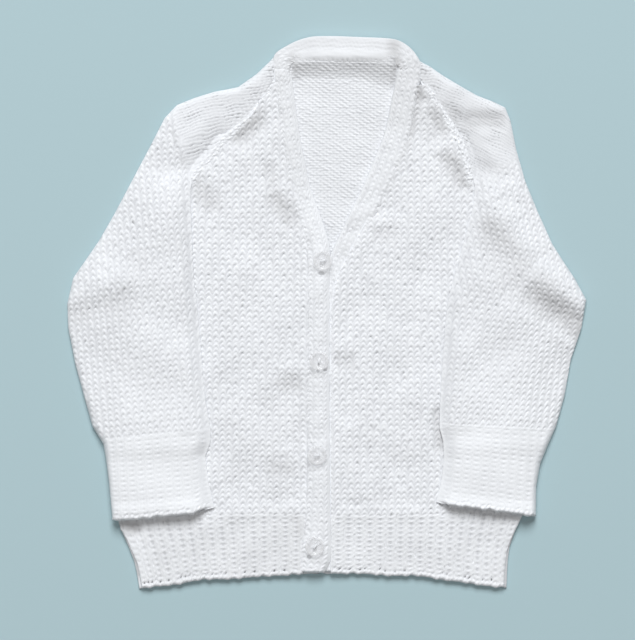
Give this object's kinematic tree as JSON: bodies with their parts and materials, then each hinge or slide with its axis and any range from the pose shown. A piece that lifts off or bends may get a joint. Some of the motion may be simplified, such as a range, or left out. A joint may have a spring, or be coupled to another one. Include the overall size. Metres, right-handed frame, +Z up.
{
  "type": "knitted baby cardigan, laid flat",
  "caption": "Hand-knitted V-neck raglan baby cardigan laid flat, sleeves folded down over the fronts, ribbed welts, cuffs and bands, pearl buttons done up.",
  "frame": {"origin": "middle of the outline, on the surface that the cardigan lies on", "axes": "+Z up from that surface, +Y from the hem towards the back neck, -X towards the wearer's right sleeve"},
  "size_m": [0.2753, 0.2934, 0.0093],
  "materials": {
    "wool": "white 4-ply baby yarn in stocking stitch, soft and matte, with 1x1 rib welts and cuffs",
    "wool_rib": "the same white yarn in lengthwise 1x1 rib",
    "pearl": "clear to milky pearl plastic, polished"
  },
  "bodies": {
    "root": {"back": "wool", "front_right": "wool", "front_left": "wool", "sleeve_right": "wool", "sleeve_left": "wool", "band_buttonhole": "wool_rib", "band_button": "wool_rib", "neckband": "wool_rib", "button_1": "pearl", "button_2": "pearl", "button_3": "pearl", "button_4": "pearl"}
  },
  "joints": []
}
